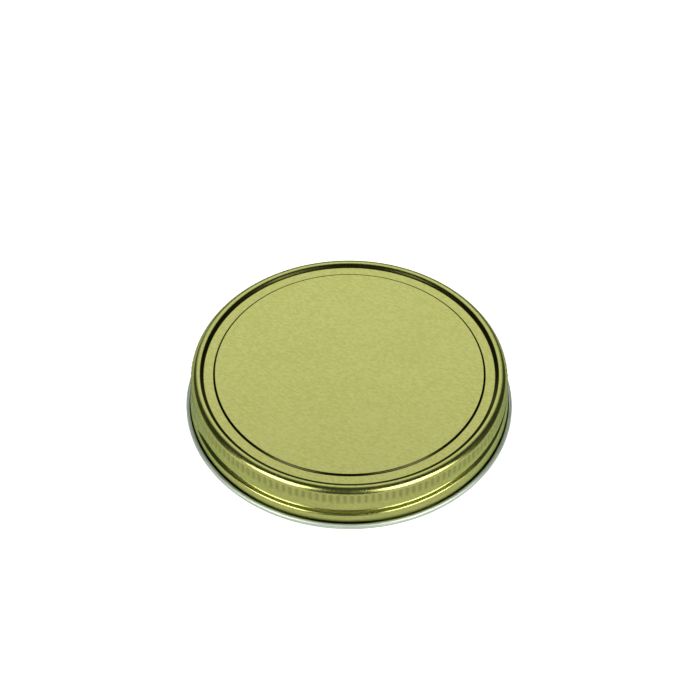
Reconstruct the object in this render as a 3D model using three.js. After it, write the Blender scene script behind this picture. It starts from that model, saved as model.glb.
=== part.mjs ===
// One-piece screw lid for a regular-mouth mason jar (70-450 finish).
// Millimetres, +Z up. The origin is the centre of the circle that the lid rests on.
// The pressed tinplate shell carries its sealing compound in the channel under its rim.
import * as THREE from 'three';
import { mergeVertices } from 'three/addons/utils/BufferGeometryUtils.js';

// Sheet and overall size
const SHEET = 0.25;              // tinplate with its lacquer
const HEIGHT = 10.8;             // from the base of the curl to the crest of the bead
const SEGMENTS = 72;             // facets round the lid

// Top, from the middle outwards (radii, and drops below the bead's crest)
const PANEL_RADIUS = 29.55;      // raised centre panel, to the start of its step
const PANEL_DROP = 0.25;
const STEP_WIDTH = 0.45;
const ANNULUS_DROP = 0.5;        // recessed flat ring between the panel and the bead
const ANNULUS_RADIUS = 32.0;
const BEAD_RADIUS = 32.95;       // inner edge of the bead's top
const CREST_RADIUS = 33.3;       // stacking bead

// Skirt
const SHOULDER_RADIUS = 1.7;     // round edge from the bead's crest to the skirt
const SHOULDER_STEPS = 4;
const SKIRT_RADIUS = CREST_RADIUS + SHOULDER_RADIUS;
const FLARE = 0.4;               // the skirt widens this much towards its lower edge
const FLARE_DROPS = [5.0, 8.4];  // where the widening starts, and is full
const NECK_DROPS = [8.7, 9.6];   // where it turns in, and meets the neck over the curl
const NECK_RADIUS = 35.35;
const SKIRT_ROWS = 13;           // rows of facets from the shoulder to the neck

// Curled edge: the sheet rolls outwards and up, so that its inner face shows
const CURL_INNER_RADIUS = 0.4;
const CURL_START = Math.PI;      // where the skirt runs into the roll
const CURL_STEP = Math.PI / 5;   // one facet, so that the third one lies flat on the base
const CURL_FACETS = 8;
const CURL_HEIGHT = CURL_INNER_RADIUS * Math.cos(CURL_STEP / 2) + SHEET;

// Thread: one rolled right-hand groove, a ridge on the inside; it starts level, then climbs
const THREAD_PITCH = 5.08;
const THREAD_DEPTH = 1.05;
const THREAD_HALF_WIDTH = 1.35;
const THREAD_DROP = 6.5;         // drop of the groove's middle along its level start
const THREAD_START = THREE.MathUtils.degToRad(190);
const THREAD_LEVEL = THREE.MathUtils.degToRad(80);
const THREAD_LENGTH = THREE.MathUtils.degToRad(290);
const THREAD_RUN_OUT = THREE.MathUtils.degToRad(25);

// Sealing compound, flowed into the channel under the rim
const SEAL_INNER_RADIUS = 30.3;
const SEAL_OUTER_RADIUS = 34.45;
const SEAL_BASE_DROP = 1.5;
const SEAL_MENISCUS = 0.45;      // its edges creep up the metal by this much
const SEAL_GAP = 0.05;           // keeps the two solids apart

const point = (radius, drop) => new THREE.Vector2(radius, -drop);

/** Points on an arc, from one angle through another, both ends included. */
function arcPoints(centre, radius, from, sweep, steps) {
  return Array.from({ length: steps + 1 }, (_, i) => {
    const angle = from + sweep * i / steps;
    return new THREE.Vector2(
      centre.x + radius * Math.cos(angle), centre.y + radius * Math.sin(angle));
  });
}

/** The top, from the axis out to the bead's crest. */
function topOutline() {
  const slope = BEAD_RADIUS - ANNULUS_RADIUS;
  return [
    point(0, PANEL_DROP),
    point(PANEL_RADIUS, PANEL_DROP),
    point(PANEL_RADIUS + STEP_WIDTH, ANNULUS_DROP),
    point(ANNULUS_RADIUS, ANNULUS_DROP),
    point(ANNULUS_RADIUS + 0.3 * slope, 0.8 * ANNULUS_DROP),
    point(ANNULUS_RADIUS + 0.7 * slope, 0.2 * ANNULUS_DROP),
    point(BEAD_RADIUS, 0),
  ];
}

/** The round shoulder and the skirt, down to the neck over the curl. */
function skirtOutline() {
  const centre = point(CREST_RADIUS, SHOULDER_RADIUS);
  const outline = arcPoints(centre, SHOULDER_RADIUS, Math.PI / 2, -Math.PI / 2, SHOULDER_STEPS);
  for (let row = 1; row <= SKIRT_ROWS; row += 1) {
    const drop = THREE.MathUtils.lerp(SHOULDER_RADIUS, NECK_DROPS[1], row / SKIRT_ROWS);
    const swollen = SKIRT_RADIUS + FLARE * THREE.MathUtils.smoothstep(drop, ...FLARE_DROPS);
    const turnedIn = THREE.MathUtils.smoothstep(drop, ...NECK_DROPS);
    outline.push(point(THREE.MathUtils.lerp(swollen, NECK_RADIUS, turnedIn), drop));
  }
  return outline;
}

/** The gold face of the rolled edge, from the neck round to the raw end. */
function curlOutline() {
  const centre = point(NECK_RADIUS + CURL_INNER_RADIUS, HEIGHT - CURL_HEIGHT);
  const sweep = CURL_STEP * CURL_FACETS;
  return arcPoints(centre, CURL_INNER_RADIUS, CURL_START, sweep, CURL_FACETS);
}

/** The same outline moved to its right-hand side, with mitred corners. */
function moved(outline, distance) {
  return outline.map((corner, i) => {
    const before = corner.clone().sub(outline[Math.max(i - 1, 0)]);
    const after = outline[Math.min(i + 1, outline.length - 1)].clone().sub(corner);
    const a = (i === 0 ? after : before).normalize();
    const b = (i === outline.length - 1 ? a : after).normalize();
    const normal = new THREE.Vector2(a.y + b.y, -a.x - b.x).normalize();
    const stretch = distance / (normal.x * a.y - normal.y * a.x);
    return new THREE.Vector2(
      i === 0 ? 0 : corner.x + normal.x * stretch, corner.y + normal.y * stretch);
  });
}

/** How far the rolled thread pushes the sheet inwards at an angle and a drop. */
function threadDepth(angle, drop) {
  const turn = THREE.MathUtils.euclideanModulo(angle - THREAD_START, 2 * Math.PI);
  const climb = THREAD_PITCH * Math.max(turn - THREAD_LEVEL, 0) / (2 * Math.PI);
  const across = Math.min(Math.abs(drop - THREAD_DROP + climb) / THREAD_HALF_WIDTH, 1);
  const fromEnd = Math.min(turn, THREAD_LENGTH - turn);
  const runOut = THREE.MathUtils.smoothstep(fromEnd, 0, THREAD_RUN_OUT);
  return THREAD_DEPTH * runOut * Math.cos(across * Math.PI / 2) ** 2;
}

/** Turns an outline, listed clockwise, round +Z, with the base of the lid at height zero. */
function turned(outline) {
  const upwards = [...outline].reverse();
  const geometry = new THREE.LatheGeometry(upwards, SEGMENTS, Math.PI / SEGMENTS);
  geometry.rotateX(Math.PI / 2);
  geometry.translate(0, 0, HEIGHT);
  geometry.deleteAttribute('normal');
  geometry.deleteAttribute('uv');
  return mergeVertices(geometry, 1e-4);
}

/** Presses the thread into every vertex of the skirt. */
function pressThread(geometry) {
  const position = geometry.attributes.position;
  const vertex = new THREE.Vector3();
  for (let i = 0; i < position.count; i += 1) {
    vertex.fromBufferAttribute(position, i);
    const radius = Math.hypot(vertex.x, vertex.y);
    const drop = HEIGHT - vertex.z;
    const onSkirt = radius > SKIRT_RADIUS - 2 * SHEET && drop > SHOULDER_RADIUS;
    if (onSkirt && drop < HEIGHT - 2 * CURL_HEIGHT) {
      const depth = threadDepth(Math.atan2(vertex.y, vertex.x), drop);
      const scale = (radius - depth) / radius;
      position.setXY(i, vertex.x * scale, vertex.y * scale);
    }
  }
  return geometry;
}

function shellGeometry() {
  const gold = [...topOutline(), ...skirtOutline(), ...curlOutline()];
  const inner = moved(gold, SHEET);
  return pressThread(turned([...gold, ...inner.reverse()]));
}

/** The compound fills the channel: its top follows the sheet, its base is flat. */
function sealGeometry() {
  const gold = [...topOutline(), ...skirtOutline()];
  const ceiling = moved(gold, SHEET + SEAL_GAP).filter((corner) => (
    corner.x > SEAL_INNER_RADIUS && corner.x < SEAL_OUTER_RADIUS
    && -corner.y < SEAL_BASE_DROP - SEAL_MENISCUS));
  const outline = [
    point(SEAL_INNER_RADIUS, -ceiling[0].y),
    ...ceiling,
    point(SEAL_OUTER_RADIUS, SEAL_BASE_DROP - SEAL_MENISCUS),
    point(SEAL_OUTER_RADIUS - SEAL_MENISCUS, SEAL_BASE_DROP),
    point(SEAL_INNER_RADIUS + SEAL_MENISCUS, SEAL_BASE_DROP),
    point(SEAL_INNER_RADIUS, -ceiling[0].y),
  ];
  return turned(outline);
}

const goldTinplate = new THREE.MeshStandardMaterial({
  color: new THREE.Color(0.72, 0.73, 0.43), roughness: 0.32, metalness: 1.0,
});
const sealingCompound = new THREE.MeshStandardMaterial({
  color: new THREE.Color(0.86, 0.84, 0.78), roughness: 0.6, metalness: 0.0,
});

function named(name, geometry, material) {
  const mesh = new THREE.Mesh(geometry, material);
  mesh.name = name;
  return mesh;
}

const lid = new THREE.Group();
lid.add(named('lid_shell', shellGeometry(), goldTinplate));
lid.add(named('sealing_ring', sealGeometry(), sealingCompound));

export default lid;
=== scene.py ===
"""Gold tinplate screw lid for a mason jar: the pressed shell and its sealing ring.

The scene is in metres, in the frame of the solid model. The lid's sizes are in millimetres, and
its outlines are (radius, drop) pairs, a drop being a depth below the crest of the stacking bead.
Nodes, camera place and floor are in metres.
"""
import math

import bpy
from mathutils import Matrix, Vector


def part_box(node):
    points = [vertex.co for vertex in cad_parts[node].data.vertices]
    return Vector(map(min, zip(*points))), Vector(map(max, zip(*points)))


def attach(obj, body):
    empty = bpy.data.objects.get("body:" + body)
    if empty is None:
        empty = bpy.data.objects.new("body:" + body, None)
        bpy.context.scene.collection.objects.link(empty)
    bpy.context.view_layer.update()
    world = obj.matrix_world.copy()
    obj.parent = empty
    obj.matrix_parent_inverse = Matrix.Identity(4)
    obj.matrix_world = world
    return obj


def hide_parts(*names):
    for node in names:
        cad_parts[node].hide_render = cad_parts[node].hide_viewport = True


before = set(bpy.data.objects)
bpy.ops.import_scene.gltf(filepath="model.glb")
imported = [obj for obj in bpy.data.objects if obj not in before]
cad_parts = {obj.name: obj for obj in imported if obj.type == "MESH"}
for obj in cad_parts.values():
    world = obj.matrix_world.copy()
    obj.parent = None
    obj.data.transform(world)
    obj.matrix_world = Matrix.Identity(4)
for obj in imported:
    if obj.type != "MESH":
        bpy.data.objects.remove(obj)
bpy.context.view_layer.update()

MM = 0.001
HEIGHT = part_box("lid_shell")[1].z / MM

# Sheet
SHEET = 0.25

# Top of the lid
PANEL_RADIUS = 29.55
PANEL_DROP = 0.25
STEP_WIDTH = 0.45
ANNULUS_RADIUS = 32.0
ANNULUS_DROP = 0.5
BEAD_RADIUS = 32.95
CREST_RADIUS = 33.3

# Narrow strip beside each corner of a flat part, which keeps the rest of it shaded flat
FLAT_MARGIN = 0.06

# Share of a slope that is straight; the rest of it is rounded into its two ends
STRAIGHT_SHARE = 0.65

# Skirt
SHOULDER_RADIUS = 1.7
SKIRT_RADIUS = CREST_RADIUS + SHOULDER_RADIUS
FLARE = 0.4
FLARE_DROPS = (5.0, 8.4)
NECK_DROPS = (8.7, 9.6)
NECK_RADIUS = 35.35
CURL_INNER_RADIUS = 0.4
CURL_SWEEP = math.radians(290)

# Grip ribs, pressed inwards round the upper skirt
RIB_COUNT = 148
RIB_DEPTH = 0.34
RIB_DROPS = (0.95, 3.8)
RIB_FADES = (0.3, 0.7)
STEPS_PER_RIB = 4

# Thread: a right-hand groove, level at first and then climbing, seen inside as a ridge
THREAD_PITCH = 5.08
THREAD_DEPTH = 1.05
THREAD_HALF_WIDTH = 1.35
THREAD_DROP = 6.5
THREAD_START = math.radians(190)
THREAD_LEVEL = math.radians(80)
THREAD_BEND = 0.3
THREAD_LENGTH = math.radians(290)
THREAD_RUN_OUT = math.radians(25)
THREAD_TOP_DROP = 3.4

# Section of the thread, from its upper edge to its lower: (share of its width, share of its
# depth); the upper wall rolls over a soft lip, the lower wall is a ledge with two corners
THREAD_SECTION = ((0.0, 0.0), (0.1, 0.0), (0.2, 0.12), (0.3, 0.6), (0.38, 0.96), (0.48, 1.0),
                  (0.58, 0.98), (0.63, 0.9), (0.76, 0.1), (0.81, 0.02), (0.9, 0.0), (1.0, 0.0))
# Where across the thread the painted shade on its upper lip fades in and out
LIP_SHARES = (0.12, 0.2, 0.36, 0.42)

# Painted shade, darkening the coat's colour towards its deep tone in the creases and ribs:
# all the way in the panel's step, elsewhere by these shares. A fade runs from the first share
# of a slope's width to the second, counted from its middle; the neck's shade stays within its
# reach of the neck's radius.
RIB_SHADE = 0.42
LIP_SHADE = 0.55
BEAD_SHADE = 0.84
NECK_SHADE = 0.76
STEP_FADE = (0.3, 0.6)
BEAD_FADE = (0.3, 0.55)
NECK_SHADE_DROPS = (7.9, 9.2)
NECK_SHADE_REACH = 0.1

# Steps of the sheet's outline on either face: top slopes, shoulder, ribs, thread and curl
OUTER_STEPS = (7, 10, 4, 62, 5)
INNER_STEPS = (3, 4, 3, 18, 12)

# Points of a spun piece closer than this, in metres, become one
WELD_DISTANCE = 1e-6

# Sealing compound in the channel under the rim
SEAL_INNER_RADIUS = 30.3
SEAL_OUTER_RADIUS = 34.45
SEAL_BASE_DROP = 1.5
SEAL_MENISCUS = 0.45
SEAL_GAP = 0.05
SEAL_STEPS = 360
SEAL_CORNER_STEPS = 5

# Coats
GOLD_LIGHT = (0.605, 0.615, 0.20, 1)
GOLD_DARK = (0.49, 0.51, 0.135, 1)
# The deep tone is the colour of tiny pits and also the painted shade in the creases
GOLD_PITS_AND_SHADE = (0.025, 0.024, 0.001, 1)
GOLD_EDGE_TINT = (0.8, 1.0, 0.6, 1)
GOLD_ROUGHNESS = (0.18, 0.23)
GOLD_STREAK_WEIGHT = 0.7
ENAMEL_DARK = (0.68, 0.76, 0.63, 1)
ENAMEL_LIGHT = (0.73, 0.81, 0.69, 1)
ENAMEL_PIT = (0.25, 0.27, 0.2, 1)
ENAMEL_ROUGHNESS = (0.38, 0.46)
COMPOUND_DARK = (0.70, 0.67, 0.58, 1)
COMPOUND_LIGHT = (0.76, 0.73, 0.65, 1)
COMPOUND_ROUGHNESS = (0.42, 0.55)
WHITE = (1, 1, 1, 1)

# Rolling direction of the sheet, measured round from +X
GRAIN_ANGLE = math.radians(-25)

# Camera: its place from the lid's base, its aim, and its lens
CAMERA_DISTANCE = 0.44844
CAMERA_LOWERED = 0.0003
CAMERA_ELEVATION = math.radians(48.68)
CAMERA_PITCH = math.radians(47.18)
CAMERA_YAW = math.radians(0.020)
CAMERA_ROLL = math.radians(0.388)
SENSOR_WIDTH = 36.0
FOCAL_LENGTH = 102.857

# Floor: the hole under the lid, the outer edge, and its painted shade, falling off towards the
# back
FLOOR_HOLE = 0.0340
FLOOR_RADIUS = 4.0
FLOOR_STEPS = 96
FLOOR_FRONT_BACK = (-0.05, 0.03)
FLOOR_WHITES_PAINTED_SHADE = (0.9, 0.6)

# Room: radiance and tint where no softbox shines, and how bright a place loses the tint
ROOM = 0.04
ROOM_TINT = (0.75, 1.0, 0.65, 1)
UNTINTED = 0.5

# Softboxes and weak fills: azimuth of the middle, half width, lower edge and upper edge in
# degrees, then radiance, and last, where it isn't the usual one, how soft the edges are
SOFT_EDGE = 3.0
SOFTBOXES = ((218, 20, 36, 63, 5.0), (320, 25, 36, 63, 5.0), (90, 26, 20, 58, 0.95, 14),
             (218, 26, -20, 36, 0.6), (320, 30, -20, 36, 0.6), (270, 30, -20, 12, 0.5),
             (160, 40, -20, 16, 0.5), (15, 40, -20, 8, 0.5))


# ---------------------------------------------------------------- camera

def add_camera():
    """Looks along +Y and down at the lid, from about forty-five centimetres away."""
    lens = bpy.data.cameras.new("camera")
    lens.sensor_width = SENSOR_WIDTH
    lens.lens = FOCAL_LENGTH
    camera = bpy.data.objects.new("camera", lens)
    bpy.context.scene.collection.objects.link(camera)
    away = CAMERA_DISTANCE * math.cos(CAMERA_ELEVATION)
    above = CAMERA_DISTANCE * math.sin(CAMERA_ELEVATION) - CAMERA_LOWERED
    pan = Matrix.Rotation(-CAMERA_YAW, 4, "Z")
    tilt = Matrix.Rotation(math.pi / 2 - CAMERA_PITCH, 4, "X")
    roll = Matrix.Rotation(CAMERA_ROLL, 4, "Z")
    camera.matrix_world = Matrix.Translation((0, -away, above)) @ pan @ tilt @ roll
    bpy.context.scene.camera = camera


# ---------------------------------------------------------------- outlines

def smoothstep(value, start, end):
    """0 up to start, 1 from end on, and a smooth rise between them."""
    share = min(max((value - start) / (end - start), 0.0), 1.0)
    return share * share * (3.0 - 2.0 * share)


def arc(centre, radius, start, sweep, steps):
    """Points (radius, drop) on an arc; angles run anticlockwise from the outward direction."""
    turns = [start + sweep * i / steps for i in range(steps + 1)]
    return [(centre[0] + radius * math.cos(a), centre[1] - radius * math.sin(a)) for a in turns]


def wave(start, end, steps):
    """Points on a slope from start to end with rounded ends, the first left out."""
    shares = [i / steps for i in range(1, steps + 1)]
    heights = [STRAIGHT_SHARE * s + (1.0 - STRAIGHT_SHARE) * smoothstep(s, 0.0, 1.0)
               for s in shares]
    return [(start[0] + (end[0] - start[0]) * s, start[1] + (end[1] - start[1]) * h)
            for s, h in zip(shares, heights)]


def top_outline(slope_steps):
    """From the axis out to the crest of the bead."""
    step_end = PANEL_RADIUS + STEP_WIDTH
    points = [(0.0, PANEL_DROP), (PANEL_RADIUS - FLAT_MARGIN, PANEL_DROP),
              (PANEL_RADIUS, PANEL_DROP)]
    points += wave(points[-1], (step_end, ANNULUS_DROP), slope_steps)
    points += [(step_end + FLAT_MARGIN, ANNULUS_DROP),
               (ANNULUS_RADIUS - FLAT_MARGIN, ANNULUS_DROP), (ANNULUS_RADIUS, ANNULUS_DROP)]
    points += wave(points[-1], (BEAD_RADIUS, 0.0), slope_steps)
    points.append((CREST_RADIUS, 0.0))
    return points


def skirt_radius(drop):
    """Radius of the skirt's outer face: straight, then swelling, then in to the neck."""
    swollen = SKIRT_RADIUS + FLARE * smoothstep(drop, *FLARE_DROPS)
    turned_in = smoothstep(drop, *NECK_DROPS)
    return swollen + (NECK_RADIUS - swollen) * turned_in


def skirt_outline(corner_steps, rib_rows, thread_rows):
    """The round shoulder and the skirt, down to the neck over the curl."""
    shoulder = arc((CREST_RADIUS, SHOULDER_RADIUS), SHOULDER_RADIUS, math.pi / 2,
                   -math.pi / 2, corner_steps)[1:]
    edges = (SHOULDER_RADIUS, THREAD_TOP_DROP, NECK_DROPS[1])
    drops = [edges[k] + (edges[k + 1] - edges[k]) * i / rows
             for k, rows in enumerate((rib_rows, thread_rows)) for i in range(1, rows + 1)]
    return shoulder + [(skirt_radius(drop), drop) for drop in drops]


def curl_outline(steps):
    """The gold face of the rolled edge, from the neck round to the raw end."""
    centre = (NECK_RADIUS + CURL_INNER_RADIUS, HEIGHT - CURL_INNER_RADIUS - SHEET)
    return arc(centre, CURL_INNER_RADIUS, math.pi, CURL_SWEEP, steps)


def sheet_outline(slope_steps, corner_steps, rib_rows, thread_rows, curl_steps):
    """The gold face of the sheet, from the axis to the raw end of the curl."""
    return (top_outline(slope_steps) + skirt_outline(corner_steps, rib_rows, thread_rows)
            + curl_outline(curl_steps))


def moved(outline, distance):
    """The outline moved inwards through the sheet, each point square to its neighbours' line."""
    result = []
    for i, (radius, drop) in enumerate(outline):
        before = outline[max(i - 1, 0)]
        after = outline[min(i + 1, len(outline) - 1)]
        along = Vector((after[0] - before[0], before[1] - after[1])).normalized()
        result.append((radius + distance * along.y, drop + distance * along.x))
    result[0] = (0.0, result[0][1])
    return result


# ---------------------------------------------------------------- node trees

class Tree:
    """Adds nodes to a tree and links them; a node given as a value means its first output."""

    def __init__(self, tree):
        self.tree = tree

    def socket(self, name, kind, out=False, default=None):
        """Gives the group a named input or output."""
        way = "OUTPUT" if out else "INPUT"
        made = self.tree.interface.new_socket(name, in_out=way, socket_type=kind)
        if default is not None:
            made.default_value = default

    def feed(self, socket, value):
        """Links a node or an output to the socket, or sets the socket to a plain value."""
        if isinstance(value, bpy.types.Node):
            value = value.outputs[0]
        if isinstance(value, bpy.types.NodeSocket):
            self.tree.links.new(value, socket)
        else:
            socket.default_value = value

    def add(self, kind, inputs=(), **settings):
        """Adds a node with its settings and feeds its inputs."""
        node = self.tree.nodes.new(kind)
        for key, value in settings.items():
            setattr(node, key, value)
        for key, value in dict(inputs).items():
            self.feed(node.inputs[key], value)
        return node

    def math(self, operation, *values, clamp=False):
        node = self.add("ShaderNodeMath", enumerate(values), operation=operation)
        node.use_clamp = clamp
        return node.outputs[0]

    def range(self, value, start, end, low=0.0, high=1.0):
        """Maps value smoothly from start..end to low..high, and no further."""
        return self.add("ShaderNodeMapRange", {
            "Value": value, "From Min": start, "From Max": end, "To Min": low, "To Max": high},
            interpolation_type="SMOOTHSTEP", clamp=False).outputs[0]


def new_tree(name, kind):
    return Tree(bpy.data.node_groups.new(name, kind))


# ---------------------------------------------------------------- spun sheet

def pressing_depth(t, given, angle, drop):
    """How deep ribs and thread press the sheet at an angle and a drop, and their painted shade.
    """
    wave_angle = t.math("MULTIPLY", angle, given["Rib Count"])
    wave_height = t.math("MULTIPLY_ADD", t.math("COSINE", wave_angle), -0.5, 0.5)
    top_full = t.math("ADD", given["Rib Top"], given["Rib Top Fade"])
    bottom_full = t.math("SUBTRACT", given["Rib Bottom"], given["Rib Bottom Fade"])
    below = t.range(drop, given["Rib Top"], top_full)
    above = t.range(drop, given["Rib Bottom"], bottom_full)
    rib_share = t.math("MULTIPLY", wave_height, t.math("MULTIPLY", below, above))
    rib = t.math("MULTIPLY", rib_share, given["Rib Depth"])

    turn = t.math("WRAP", t.math("SUBTRACT", angle, given["Thread Start"]), 2 * math.pi, 0.0)
    past_level = t.math("SUBTRACT", turn, given["Thread Level"])
    climbing = t.math("SMOOTH_MAX", past_level, 0.0, THREAD_BEND)
    climb = t.math("MULTIPLY", climbing, t.math("DIVIDE", given["Thread Pitch"], 2 * math.pi))
    middle = t.math("SUBTRACT", given["Thread Drop"], climb)
    width = t.math("MULTIPLY", given["Thread Half Width"], 2.0)
    across = t.math("DIVIDE", t.math("SUBTRACT", drop, middle), width)
    share = t.math("ADD", across, 0.5, clamp=True)
    section = t.add("ShaderNodeFloatCurve", {"Value": share})
    shape = section.mapping.curves[0].points
    shape[0].location = THREAD_SECTION[0]
    shape[1].location = THREAD_SECTION[-1]
    for corner in THREAD_SECTION[1:-1]:
        shape.new(*corner)
    section.mapping.update()
    hump = t.math("MULTIPLY", section, given["Thread Depth"])
    from_end = t.math("MINIMUM", turn, t.math("SUBTRACT", given["Thread Length"], turn))
    run_out = t.range(from_end, 0.0, given["Thread Run Out"])
    thread = t.math("MULTIPLY", hump, run_out)
    lip_in = t.range(share, LIP_SHARES[0], LIP_SHARES[1])
    lip_out = t.range(share, LIP_SHARES[3], LIP_SHARES[2])
    lip = t.math("MULTIPLY", t.math("MULTIPLY", lip_in, lip_out), run_out)
    # Painted shade in the ribs' valleys and on the thread's upper lip
    shade = t.math("MULTIPLY_ADD", rib_share, given["Rib Shade"],
                   t.math("MULTIPLY", lip, given["Lip Shade"]))
    return t.math("ADD", rib, thread), shade


def spinning_tree(sizes):
    """Spins an outline round +Z, presses ribs and thread into it, and coats its two faces.

    The outline is a mesh whose vertices lie in the XZ plane, in order. Its attributes say how
    far the pressing reaches each of them, and which face of the sheet they are on."""
    t = new_tree("spin_and_press", "GeometryNodeTree")
    t.socket("Outline", "NodeSocketGeometry")
    t.socket("Lid", "NodeSocketGeometry", out=True)
    t.socket("Steps", "NodeSocketInt", default=360)
    for size in sizes:
        t.socket(size, "NodeSocketFloat", default=0.0)
    t.socket("Outer Coat", "NodeSocketMaterial")
    t.socket("Inner Coat", "NodeSocketMaterial")
    given = t.add("NodeGroupInput").outputs

    size = t.add("GeometryNodeAttributeDomainSize", {"Geometry": given["Outline"]})
    around = t.math("ADD", given["Steps"], 1.0)
    grid = t.add("GeometryNodeMeshGrid", {
        "Vertices X": size.outputs["Point Count"], "Vertices Y": around})
    index = t.add("GeometryNodeInputIndex")
    row = t.math("FLOOR", t.math("DIVIDE", index, around))
    step = t.math("SUBTRACT", index, t.math("MULTIPLY", row, around))
    angle = t.math("MULTIPLY", step, t.math("DIVIDE", 2 * math.pi, given["Steps"]))

    def sampled(source, kind):
        return t.add("GeometryNodeSampleIndex", {
            "Geometry": given["Outline"], "Value": source, "Index": row}, data_type=kind)

    def named(name):
        return t.add("GeometryNodeInputNamedAttribute", {"Name": name}, data_type="FLOAT")

    position = sampled(t.add("GeometryNodeInputPosition"), "FLOAT_VECTOR")
    point = t.add("ShaderNodeSeparateXYZ", {"Vector": position}).outputs
    share = sampled(named("press_share"), "FLOAT")
    drop = t.math("SUBTRACT", given["Height"], point["Z"])
    pressed, shade = pressing_depth(t, given, angle, drop)
    depth = t.math("MULTIPLY", pressed, share)
    radius = t.math("SUBTRACT", point["X"], depth)
    spun = t.add("ShaderNodeCombineXYZ", {
        "X": t.math("MULTIPLY", radius, t.math("COSINE", angle)),
        "Y": t.math("MULTIPLY", radius, t.math("SINE", angle)),
        "Z": point["Z"]})

    # Painted shade: the outline's darkening in the creases, plus the ribs' valleys and the
    # thread's lip, stored for the gold coat
    painted_shade = t.math("MULTIPLY_ADD", shade, share, sampled(named("painted_shade"), "FLOAT"))
    marked = grid
    for mark, value in (("inner_side", sampled(named("inner_side"), "FLOAT")),
                        ("painted_shade", painted_shade)):
        marked = t.add("GeometryNodeStoreNamedAttribute", {
            "Geometry": marked, "Name": mark, "Value": value}, data_type="FLOAT")
    shaped = t.add("GeometryNodeSetPosition", {"Geometry": marked, "Position": spun})
    welded = t.add("GeometryNodeMergeByDistance", {
        "Geometry": shaped, "Distance": WELD_DISTANCE})
    smooth = t.add("GeometryNodeSetShadeSmooth", {"Geometry": welded})
    real = t.add("GeometryNodeRealizeInstances", {"Geometry": smooth})
    outer = t.add("GeometryNodeSetMaterial", {
        "Geometry": real, "Material": given["Outer Coat"]})
    # a face takes the mean of its corners, so the raw edge, at a half, is enamelled as well
    is_inner = t.math("GREATER_THAN", named("inner_side"), 0.25)
    coated = t.add("GeometryNodeSetMaterial", {
        "Geometry": outer, "Selection": is_inner, "Material": given["Inner Coat"]})
    t.add("NodeGroupOutput", {"Lid": coated})
    return t.tree


def spin(name, tree, outline, marks, values):
    """One closed piece, spun from its outline by the tree; returns a plain mesh object."""
    mesh = bpy.data.meshes.new(name)
    points = [(radius * MM, 0.0, (HEIGHT - drop) * MM) for radius, drop in outline]
    mesh.from_pydata(points, [(i, i + 1) for i in range(len(points) - 1)], [])
    for key in ("press_share", "inner_side", "painted_shade"):
        numbers = marks.get(key, [0.0] * len(points))
        mesh.attributes.new(key, "FLOAT", "POINT").data.foreach_set("value", numbers)
    piece = bpy.data.objects.new(name, mesh)
    bpy.context.scene.collection.objects.link(piece)
    modifier = piece.modifiers.new("spin", "NODES")
    modifier.node_group = tree
    for item in tree.interface.items_tree:
        if item.name in values:
            modifier[item.identifier] = values[item.name]
    graph = bpy.context.evaluated_depsgraph_get()
    made = bpy.data.meshes.new_from_object(piece.evaluated_get(graph), depsgraph=graph)
    # the first slot, left from the bare outline, is empty
    made.materials.pop(index=0)
    piece.modifiers.clear()
    piece.data = made
    return piece


# ---------------------------------------------------------------- materials

def material(name):
    """A new material, its tree and its shader."""
    made = bpy.data.materials.new(name)
    made.use_nodes = True
    return made, Tree(made.node_tree), made.node_tree.nodes["Principled BSDF"]


def grain_group():
    """Rolling grain of tinplate: fine streaks along one direction, with slow clouds."""
    t = new_tree("rolled_grain", "ShaderNodeTree")
    t.socket("Vector", "NodeSocketVector")
    t.socket("Angle", "NodeSocketFloat", default=0.0)
    t.socket("Streak Scale", "NodeSocketFloat", default=1500.0)
    t.socket("Stretch", "NodeSocketFloat", default=0.12)
    t.socket("Cloud Scale", "NodeSocketFloat", default=90.0)
    t.socket("Streaks", "NodeSocketFloat", out=True)
    t.socket("Clouds", "NodeSocketFloat", out=True)
    given = t.add("NodeGroupInput").outputs
    turn = t.add("ShaderNodeCombineXYZ", {"Z": t.math("MULTIPLY", given["Angle"], -1.0)})
    stretch = t.add("ShaderNodeCombineXYZ", {"X": given["Stretch"], "Y": 1.0, "Z": 1.0})
    turned = t.add("ShaderNodeMapping", {"Vector": given["Vector"], "Rotation": turn})
    drawn = t.add("ShaderNodeVectorMath", {0: turned, 1: stretch}, operation="MULTIPLY")
    streaks = t.add("ShaderNodeTexNoise", {
        "Vector": drawn, "Scale": given["Streak Scale"], "Detail": 3.0, "Roughness": 0.6})
    clouds = t.add("ShaderNodeTexNoise", {
        "Vector": given["Vector"], "Scale": given["Cloud Scale"], "Detail": 4.0,
        "Roughness": 0.55})
    t.add("NodeGroupOutput", {"Streaks": streaks, "Clouds": clouds})
    return t.tree


def speck_group():
    """A few tiny pits, scattered by a cell pattern."""
    t = new_tree("specks", "ShaderNodeTree")
    t.socket("Vector", "NodeSocketVector")
    t.socket("Scale", "NodeSocketFloat", default=200.0)
    t.socket("Size", "NodeSocketFloat", default=0.05)
    t.socket("Share", "NodeSocketFloat", default=0.1)
    t.socket("Mask", "NodeSocketFloat", out=True)
    given = t.add("NodeGroupInput").outputs
    cells = t.add("ShaderNodeTexVoronoi", {
        "Vector": given["Vector"], "Scale": given["Scale"]})
    near = t.range(cells.outputs["Distance"], given["Size"], 0.0)
    lot = t.add("ShaderNodeSeparateColor", {"Color": cells.outputs["Color"]})
    chosen = t.math("LESS_THAN", lot.outputs[0], given["Share"])
    t.add("NodeGroupOutput", {"Mask": t.math("MULTIPLY", near, chosen)})
    return t.tree


def place(t, group, **inputs):
    """Puts a group in a material with its own values; an underscore stands for a space."""
    node = t.add("ShaderNodeGroup")
    node.node_tree = group
    for key, value in inputs.items():
        t.feed(node.inputs[key.replace("_", " ")], value)
    return node.outputs


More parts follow.
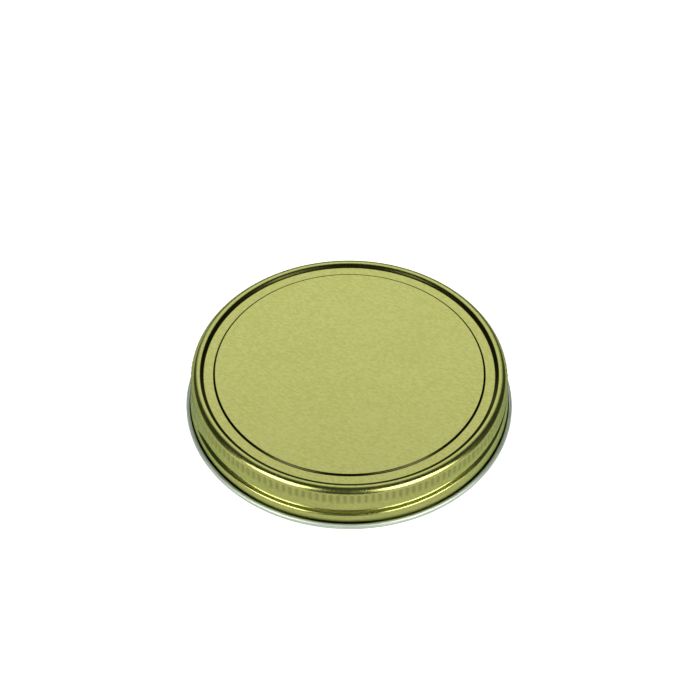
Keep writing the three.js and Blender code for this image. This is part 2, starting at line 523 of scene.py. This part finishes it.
def mixed(t, share, first, second):
    """Two colours mixed by a share; the Mix node has its colours at inputs 6 and 7."""
    return t.add("ShaderNodeMix", {0: share, 6: first, 7: second}, data_type="RGBA").outputs[2]


def gold_lacquer(grain, specks):
    """Transparent gold lacquer, glossy, over rolled tinplate, with painted shade in the creases.
    """
    made, t, shader = material("gold_lacquer")
    where = t.add("ShaderNodeTexCoord").outputs["Object"]
    rolled = place(t, grain, Vector=where, Angle=GRAIN_ANGLE, Streak_Scale=2400.0, Stretch=0.45)
    pits = place(t, specks, Vector=where, Scale=170.0, Size=0.07, Share=0.04)
    cloudy = t.math("MULTIPLY", rolled["Clouds"], 1.0 - GOLD_STREAK_WEIGHT)
    tone = t.math("MULTIPLY_ADD", rolled["Streaks"], GOLD_STREAK_WEIGHT, cloudy)
    streaky = mixed(t, t.range(tone, 0.35, 0.65), GOLD_DARK, GOLD_LIGHT)
    pitted = mixed(t, pits["Mask"], streaky, GOLD_PITS_AND_SHADE)
    # Painted shade: the coat's colour goes towards the deep tone where the creases are shaded
    painted_shade = t.add("ShaderNodeAttribute", attribute_name="painted_shade").outputs["Fac"]
    t.feed(shader.inputs["Base Color"], mixed(t, painted_shade, pitted, GOLD_PITS_AND_SHADE))
    t.feed(shader.inputs["Roughness"], t.range(rolled["Clouds"], 0.3, 0.7, *GOLD_ROUGHNESS))
    shader.inputs["Metallic"].default_value = 1.0
    shader.inputs["Specular Tint"].default_value = GOLD_EDGE_TINT
    shader.inputs["Coat Weight"].default_value = 0.3
    shader.inputs["Coat Roughness"].default_value = 0.12
    t.feed(shader.inputs["Normal"], t.add("ShaderNodeBump", {
        "Strength": 0.08, "Distance": 0.00003, "Height": rolled["Streaks"]}))
    return made


def inner_enamel(grain, specks):
    """Pale grey-green enamel on the inner face, which also shows on the curl."""
    made, t, shader = material("inner_enamel")
    where = t.add("ShaderNodeTexCoord").outputs["Object"]
    skin = place(t, grain, Vector=where, Angle=GRAIN_ANGLE, Streak_Scale=1200.0,
                 Stretch=0.3, Cloud_Scale=140.0)
    pits = place(t, specks, Vector=where, Scale=240.0, Size=0.06, Share=0.03)
    body = mixed(t, t.range(skin["Clouds"], 0.3, 0.7), ENAMEL_DARK, ENAMEL_LIGHT)
    t.feed(shader.inputs["Base Color"], mixed(t, pits["Mask"], body, ENAMEL_PIT))
    t.feed(shader.inputs["Roughness"], t.range(skin["Clouds"], 0.2, 0.8, *ENAMEL_ROUGHNESS))
    shader.inputs["Metallic"].default_value = 0.7
    t.feed(shader.inputs["Normal"], t.add("ShaderNodeBump", {
        "Strength": 0.2, "Distance": 0.00003, "Height": skin["Streaks"]}))
    return made


def sealing_compound(grain):
    """Off-white plastisol, satin, with a faint orange-peel surface."""
    made, t, shader = material("sealing_compound")
    where = t.add("ShaderNodeTexCoord").outputs["Object"]
    skin = place(t, grain, Vector=where, Angle=0.0, Streak_Scale=900.0, Stretch=1.0,
                 Cloud_Scale=260.0)
    body = mixed(t, t.range(skin["Clouds"], 0.3, 0.7), COMPOUND_DARK, COMPOUND_LIGHT)
    t.feed(shader.inputs["Base Color"], body)
    t.feed(shader.inputs["Roughness"], t.range(skin["Clouds"], 0.2, 0.8, *COMPOUND_ROUGHNESS))
    t.feed(shader.inputs["Normal"], t.add("ShaderNodeBump", {
        "Strength": 0.3, "Distance": 0.00005, "Height": skin["Streaks"]}))
    return made


# ---------------------------------------------------------------- pieces

PRESSING = {
    "Height": HEIGHT * MM,
    "Rib Count": float(RIB_COUNT), "Rib Depth": RIB_DEPTH * MM,
    "Rib Top": RIB_DROPS[0] * MM, "Rib Bottom": RIB_DROPS[1] * MM,
    "Rib Top Fade": RIB_FADES[0] * MM, "Rib Bottom Fade": RIB_FADES[1] * MM,
    "Rib Shade": RIB_SHADE, "Lip Shade": LIP_SHADE,
    "Thread Pitch": THREAD_PITCH * MM, "Thread Depth": THREAD_DEPTH * MM,
    "Thread Half Width": THREAD_HALF_WIDTH * MM,
    "Thread Drop": THREAD_DROP * MM, "Thread Start": THREAD_START,
    "Thread Level": THREAD_LEVEL, "Thread Length": THREAD_LENGTH,
    "Thread Run Out": THREAD_RUN_OUT,
}


def press_share(radius, drop):
    """Whether the pressing tools reach a point of the outline: the skirt, not the curl."""
    if radius < CREST_RADIUS - SHEET or drop > NECK_DROPS[1]:
        return 0.0
    return 1.0


def painted_shade_depth(radius, drop):
    """Painted shade on the coat: most in the panel's step, less up the bead and at the neck."""
    step_share = (radius - PANEL_RADIUS) / STEP_WIDTH
    depths = [1.0 - smoothstep(abs(step_share - 0.5), *STEP_FADE)]
    if drop < ANNULUS_DROP:
        bead_share = (radius - ANNULUS_RADIUS) / (BEAD_RADIUS - ANNULUS_RADIUS)
        depths.append(BEAD_SHADE * (1.0 - smoothstep(abs(bead_share - 0.5), *BEAD_FADE)))
    if radius < NECK_RADIUS + NECK_SHADE_REACH:
        depths.append(NECK_SHADE * smoothstep(drop, *NECK_SHADE_DROPS))
    return max(depths)


def make_shell(tree, gold, enamel):
    """The pressed shell, both faces, as one closed sheet."""
    gold_face = sheet_outline(*OUTER_STEPS)
    inner_face = moved(sheet_outline(*INNER_STEPS), SHEET)
    outline = gold_face + inner_face[::-1]
    marks = {
        "press_share": [press_share(*point) for point in outline],
        "inner_side": [0.0] * len(gold_face) + [1.0] * len(inner_face),
        "painted_shade": [painted_shade_depth(*point) for point in outline],
    }
    return spin("pressed_shell", tree, outline, marks, {
        "Steps": RIB_COUNT * STEPS_PER_RIB, "Outer Coat": gold, "Inner Coat": enamel,
        **PRESSING})


def make_seal(tree, compound):
    """The compound that fills the channel: its top follows the sheet, its base is flat."""
    lowest = SEAL_BASE_DROP - SEAL_MENISCUS
    sheet = moved(top_outline(slope_steps=5)
                  + skirt_outline(corner_steps=8, rib_rows=5, thread_rows=5), SHEET + SEAL_GAP)
    ceiling = [(radius, drop) for radius, drop in sheet
               if SEAL_INNER_RADIUS < radius < SEAL_OUTER_RADIUS and drop < lowest]
    outer = arc((SEAL_OUTER_RADIUS - SEAL_MENISCUS, lowest), SEAL_MENISCUS,
                0.0, -math.pi / 2, SEAL_CORNER_STEPS)
    inner = arc((SEAL_INNER_RADIUS + SEAL_MENISCUS, lowest), SEAL_MENISCUS,
                -math.pi / 2, -math.pi / 2, SEAL_CORNER_STEPS)
    outline = [(SEAL_INNER_RADIUS, ceiling[0][1])] + ceiling + outer + inner
    outline.append(outline[0])
    return spin("sealing_bead", tree, outline, {}, {
        "Steps": SEAL_STEPS, "Outer Coat": compound, "Inner Coat": compound, **PRESSING})


# ---------------------------------------------------------------- studio

def white_floor():
    """A large white floor with a hole under the lid, so that light reaches its underside."""
    mesh = bpy.data.meshes.new("floor")
    steps = FLOOR_STEPS
    turns = [2 * math.pi * i / steps for i in range(steps)]
    corners = [(r * math.cos(a), r * math.sin(a), 0.0)
               for r in (FLOOR_HOLE, FLOOR_RADIUS) for a in turns]
    faces = [(i, i + steps, (i + 1) % steps + steps, (i + 1) % steps) for i in range(steps)]
    mesh.from_pydata(corners, [], faces)
    floor = bpy.data.objects.new("floor", mesh)
    bpy.context.scene.collection.objects.link(floor)
    made, t, shader = material("white_floor")
    where = t.add("ShaderNodeSeparateXYZ", {
        "Vector": t.add("ShaderNodeTexCoord").outputs["Object"]}).outputs
    # Painted shade: the floor's colour darkens towards the back, so the lid mirrors a darker
    # floor behind it
    t.feed(shader.inputs["Base Color"], t.range(where["Y"], *FLOOR_FRONT_BACK, *FLOOR_WHITES_PAINTED_SHADE))
    shader.inputs["Roughness"].default_value = 1.0
    shader.inputs["Specular IOR Level"].default_value = 0.0
    shader.inputs["Emission Color"].default_value = WHITE
    seen = t.add("ShaderNodeLightPath").outputs["Is Camera Ray"]
    t.feed(shader.inputs["Emission Strength"], seen)
    behind = t.add("ShaderNodeNewGeometry").outputs["Backfacing"]
    t.feed(shader.inputs["Alpha"], t.math("SUBTRACT", 1.0, behind))
    mesh.materials.append(made)


def softbox_light(t, toward, azimuth, half_width, low, high, radiance, blur=SOFT_EDGE):
    """Light from one softbox towards an (azimuth, elevation); its own edges are in degrees."""
    turn = t.math("SUBTRACT", toward[0], math.radians(azimuth))
    away = t.math("ABSOLUTE", t.math("WRAP", turn, math.pi, -math.pi))
    half = math.radians(half_width)
    soft = math.radians(blur)
    across = t.range(away, half + soft, half - soft)
    above = t.range(toward[1], math.radians(low - blur), math.radians(low + blur))
    below = t.range(toward[1], math.radians(high + blur), math.radians(high - blur))
    inside = t.math("MULTIPLY", across, t.math("MULTIPLY", above, below))
    return t.math("MULTIPLY", inside, radiance)


def studio_world():
    """White to the eye; to the lid a dim room with softboxes and weak fills."""
    world = bpy.data.worlds.new("studio")
    bpy.context.scene.world = world
    world.use_nodes = True
    t = Tree(world.node_tree)
    toward = t.add("ShaderNodeSeparateXYZ", {
        "Vector": t.add("ShaderNodeTexCoord").outputs["Generated"]}).outputs
    azimuth = t.math("ARCTAN2", toward["Y"], toward["X"])
    elevation = t.math("ARCSINE", toward["Z"])
    light = ROOM
    for softbox in SOFTBOXES:
        light = t.math("ADD", light, softbox_light(t, (azimuth, elevation), *softbox))
    tint = mixed(t, t.range(light, ROOM, UNTINTED), ROOM_TINT, WHITE)
    room = t.add("ShaderNodeBackground", {"Strength": light, "Color": tint})
    white = t.add("ShaderNodeBackground", {"Color": WHITE})
    seen = t.add("ShaderNodeLightPath").outputs["Is Camera Ray"]
    both = t.add("ShaderNodeMixShader", {0: seen, 1: room, 2: white})
    t.feed(world.node_tree.nodes["World Output"].inputs["Surface"], both)


add_camera()
bpy.context.scene.view_settings.view_transform = "Standard"
spinning = spinning_tree(PRESSING)
grain = grain_group()
specks = speck_group()
shell = make_shell(spinning, gold_lacquer(grain, specks), inner_enamel(grain, specks))
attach(shell, "root")
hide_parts("lid_shell")
seal = make_seal(spinning, sealing_compound(grain))
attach(seal, "root")
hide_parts("sealing_ring")

white_floor()
studio_world()
